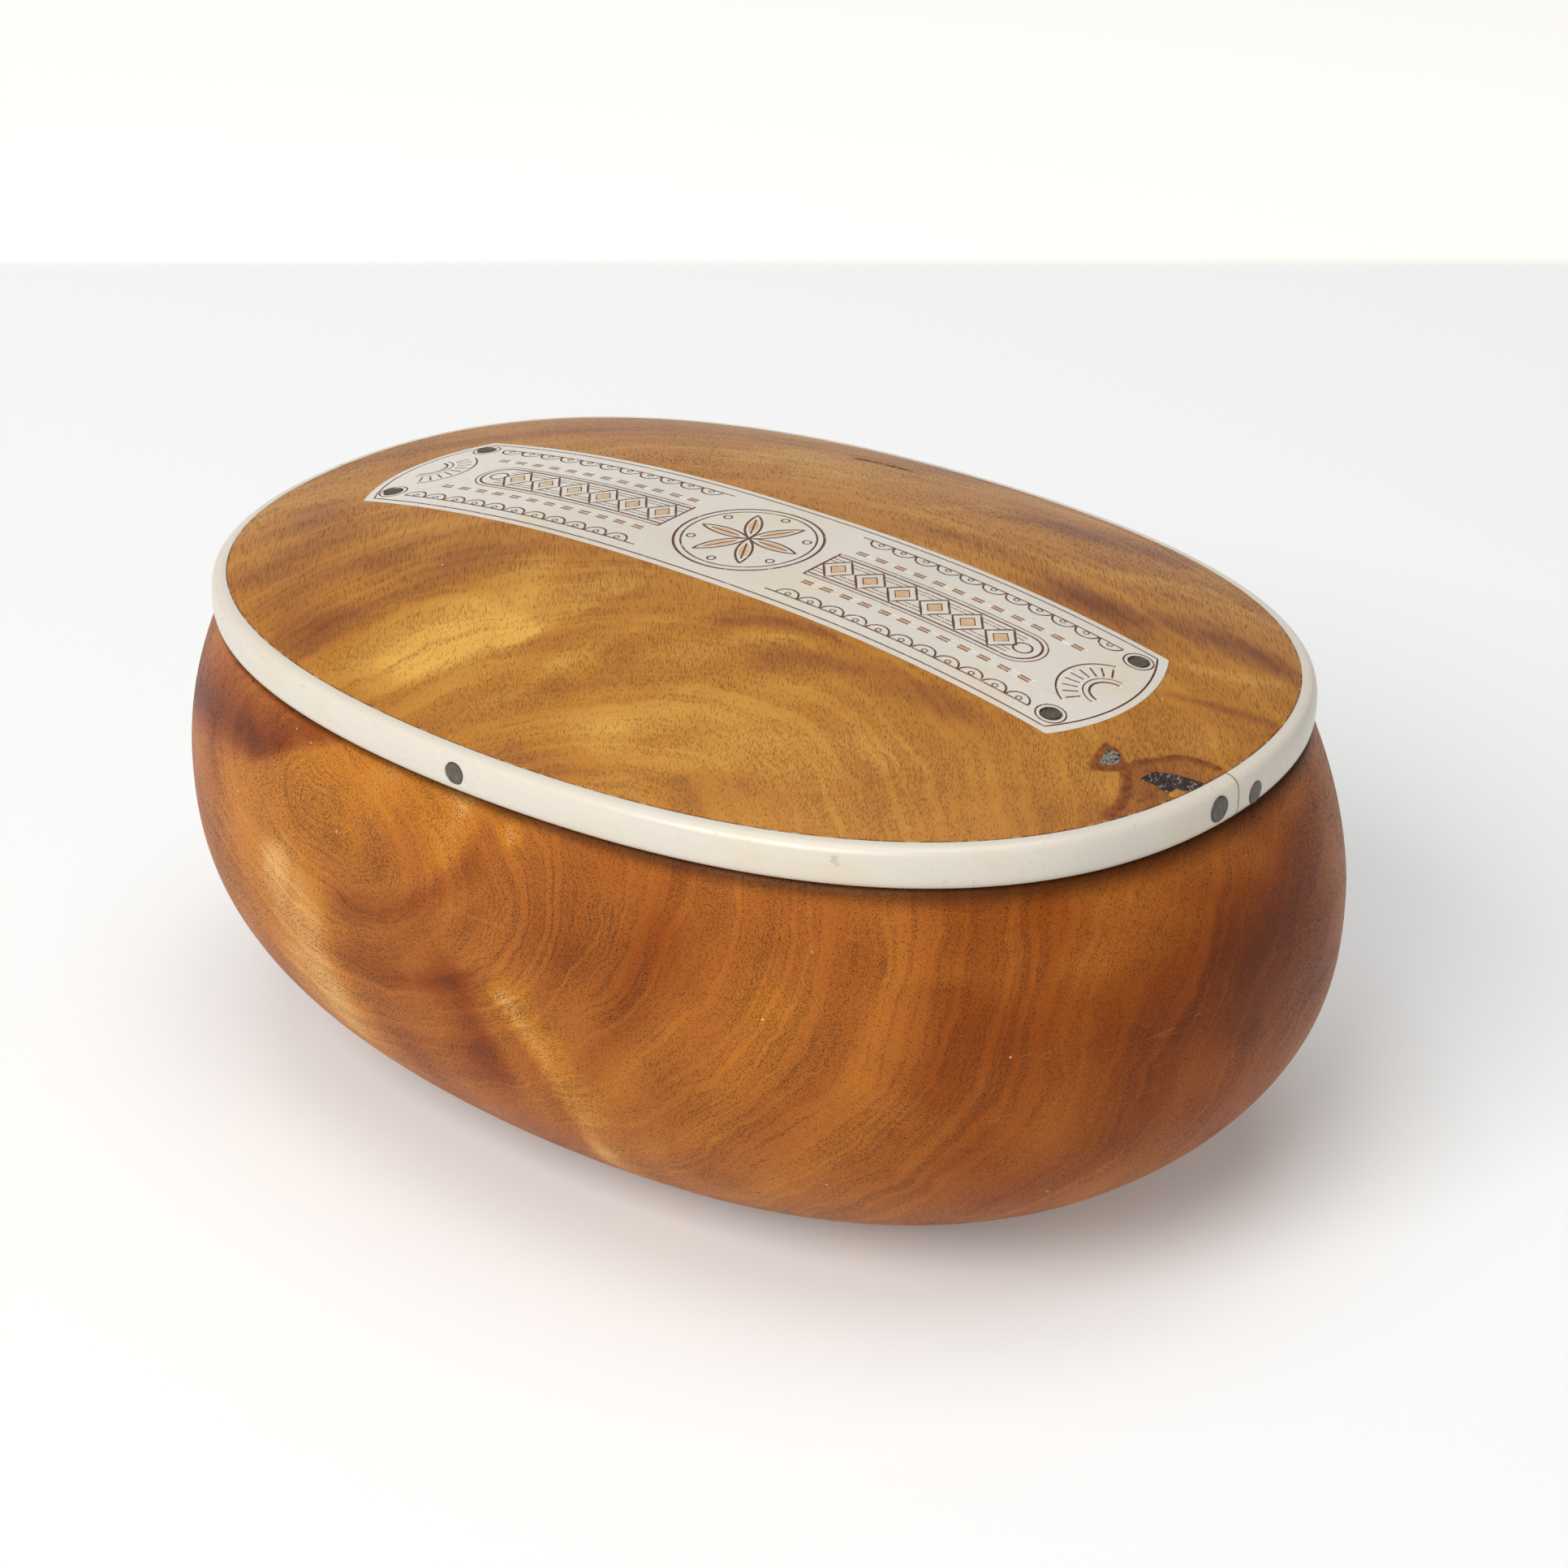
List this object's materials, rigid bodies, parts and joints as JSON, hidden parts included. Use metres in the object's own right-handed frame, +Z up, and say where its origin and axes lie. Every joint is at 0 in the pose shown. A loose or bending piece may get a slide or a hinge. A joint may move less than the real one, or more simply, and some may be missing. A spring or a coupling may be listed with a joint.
{
  "type": "lidded oval box",
  "caption": "Oval carved wooden box with a bulging body, and a domed lift-off lid edged with a pinned antler band and inlaid with an engraved antler plate.",
  "frame": {"origin": "middle of the flat base that the bowl stands on", "axes": "+Z up, +X along the box's long axis towards the end with the visible strip joint, -Y towards the front"},
  "size_m": [0.2276, 0.158, 0.1041],
  "materials": {
    "bowl_wood": "satin oiled figured birch, stained reddish orange",
    "lid_wood": "satin oiled figured birch, honey brown",
    "antler_plate": "polished antler with fine engraved lines filled brown",
    "antler_strip": "polished antler",
    "dark_pin": "dark grey-green horn, filed flush"
  },
  "bodies": {
    "bowl": {"bowl": "bowl_wood"},
    "lid": {"lid_board": "lid_wood", "inlay_plate": "antler_plate", "edge_strip_front": "antler_strip", "edge_strip_back": "antler_strip", "plate_pin_front_left": "dark_pin", "plate_pin_front_right": "dark_pin", "plate_pin_back_left": "dark_pin", "plate_pin_back_right": "dark_pin", "edge_pin_front_right": "dark_pin", "edge_pin_front_mid": "dark_pin", "edge_pin_front_left": "dark_pin", "edge_pin_back_right": "dark_pin", "edge_pin_back_mid": "dark_pin", "edge_pin_back_left": "dark_pin"}
  },
  "joints": [
    {"name": "lid_lift", "type": "slide", "parent": "bowl", "child": "lid", "axis": [0, 0, 1], "range_m": [0, 0.08]}
  ]
}
